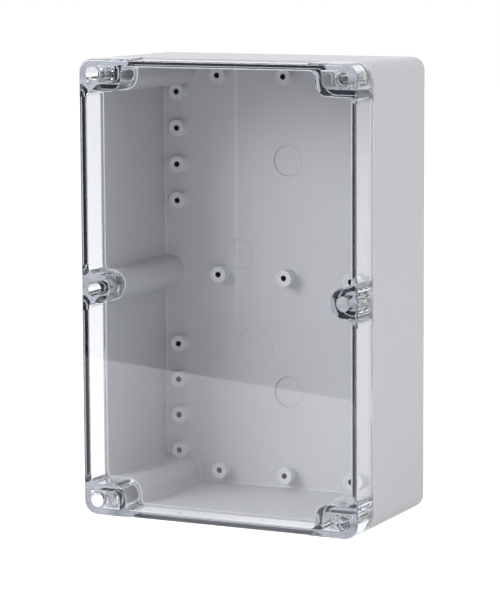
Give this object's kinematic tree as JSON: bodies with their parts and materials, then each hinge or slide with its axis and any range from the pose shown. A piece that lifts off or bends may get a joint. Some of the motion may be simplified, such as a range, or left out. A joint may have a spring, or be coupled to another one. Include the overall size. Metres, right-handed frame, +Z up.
{
  "type": "polycarbonate enclosure",
  "caption": "Upright sealed wall box with a light grey base, a clear screw-on cover, mounting bosses inside and captive cover screws.",
  "frame": {"origin": "middle of the underside, on the surface that the box stands on", "axes": "+Z up along the long side, +Y from the cover to the back wall, +X to the right seen from the cover"},
  "size_m": [0.158, 0.09, 0.24],
  "materials": {
    "moulded_grey": "satin",
    "clear_polycarbonate": "polished",
    "seal_rubber": "matte",
    "screw_steel": "satin",
    "nylon": "satin",
    "insert_brass": "satin"
  },
  "bodies": {
    "base": {"base_shell": "moulded_grey", "cover_gasket": "seal_rubber", "thread_insert_top_left": "insert_brass", "thread_insert_top_right": "insert_brass", "thread_insert_middle_left": "insert_brass", "thread_insert_middle_right": "insert_brass", "thread_insert_bottom_left": "insert_brass", "thread_insert_bottom_right": "insert_brass"},
    "cover": {"clear_cover": "clear_polycarbonate"},
    "washer_top_left": {"retaining_washer_top_left": "nylon"},
    "screw_top_left": {"cover_screw_top_left": "screw_steel"},
    "washer_top_right": {"retaining_washer_top_right": "nylon"},
    "screw_top_right": {"cover_screw_top_right": "screw_steel"},
    "washer_middle_left": {"retaining_washer_middle_left": "nylon"},
    "screw_middle_left": {"cover_screw_middle_left": "screw_steel"},
    "washer_middle_right": {"retaining_washer_middle_right": "nylon"},
    "screw_middle_right": {"cover_screw_middle_right": "screw_steel"},
    "washer_bottom_left": {"retaining_washer_bottom_left": "nylon"},
    "screw_bottom_left": {"cover_screw_bottom_left": "screw_steel"},
    "washer_bottom_right": {"retaining_washer_bottom_right": "nylon"},
    "screw_bottom_right": {"cover_screw_bottom_right": "screw_steel"}
  },
  "joints": [
    {"name": "cover_lift_off", "type": "slide", "parent": "base", "child": "cover", "axis": [0, -1, 0], "range_m": [0, 0.08]},
    {"name": "screw_top_left_back_out", "type": "slide", "parent": "cover", "child": "washer_top_left", "axis": [0, -1, 0], "range_m": [0, 0.0062]},
    {"name": "screw_top_left_turn", "type": "hinge", "parent": "washer_top_left", "child": "screw_top_left", "pos_m": [-0.0712, -0.0295, 0.2322], "axis": [0, -1, 0], "range_deg": [0, 3188.6]},
    {"name": "screw_top_right_back_out", "type": "slide", "parent": "cover", "child": "washer_top_right", "axis": [0, -1, 0], "range_m": [0, 0.0062]},
    {"name": "screw_top_right_turn", "type": "hinge", "parent": "washer_top_right", "child": "screw_top_right", "pos_m": [0.0712, -0.0295, 0.2322], "axis": [0, -1, 0], "range_deg": [0, 3188.6]},
    {"name": "screw_middle_left_back_out", "type": "slide", "parent": "cover", "child": "washer_middle_left", "axis": [0, -1, 0], "range_m": [0, 0.0062]},
    {"name": "screw_middle_left_turn", "type": "hinge", "parent": "washer_middle_left", "child": "screw_middle_left", "pos_m": [-0.0712, -0.0295, 0.12], "axis": [0, -1, 0], "range_deg": [0, 3188.6]},
    {"name": "screw_middle_right_back_out", "type": "slide", "parent": "cover", "child": "washer_middle_right", "axis": [0, -1, 0], "range_m": [0, 0.0062]},
    {"name": "screw_middle_right_turn", "type": "hinge", "parent": "washer_middle_right", "child": "screw_middle_right", "pos_m": [0.0712, -0.0295, 0.12], "axis": [0, -1, 0], "range_deg": [0, 3188.6]},
    {"name": "screw_bottom_left_back_out", "type": "slide", "parent": "cover", "child": "washer_bottom_left", "axis": [0, -1, 0], "range_m": [0, 0.0062]},
    {"name": "screw_bottom_left_turn", "type": "hinge", "parent": "washer_bottom_left", "child": "screw_bottom_left", "pos_m": [-0.0712, -0.0295, 0.0078], "axis": [0, -1, 0], "range_deg": [0, 3188.6]},
    {"name": "screw_bottom_right_back_out", "type": "slide", "parent": "cover", "child": "washer_bottom_right", "axis": [0, -1, 0], "range_m": [0, 0.0062]},
    {"name": "screw_bottom_right_turn", "type": "hinge", "parent": "washer_bottom_right", "child": "screw_bottom_right", "pos_m": [0.0712, -0.0295, 0.0078], "axis": [0, -1, 0], "range_deg": [0, 3188.6]}
  ],
  "couplings": [
    {"joint": "screw_top_left_turn", "follows": "screw_top_left_back_out", "rad_per_m": 8976},
    {"joint": "screw_top_right_turn", "follows": "screw_top_right_back_out", "rad_per_m": 8976},
    {"joint": "screw_middle_left_turn", "follows": "screw_middle_left_back_out", "rad_per_m": 8976},
    {"joint": "screw_middle_right_turn", "follows": "screw_middle_right_back_out", "rad_per_m": 8976},
    {"joint": "screw_bottom_left_turn", "follows": "screw_bottom_left_back_out", "rad_per_m": 8976},
    {"joint": "screw_bottom_right_turn", "follows": "screw_bottom_right_back_out", "rad_per_m": 8976}
  ]
}
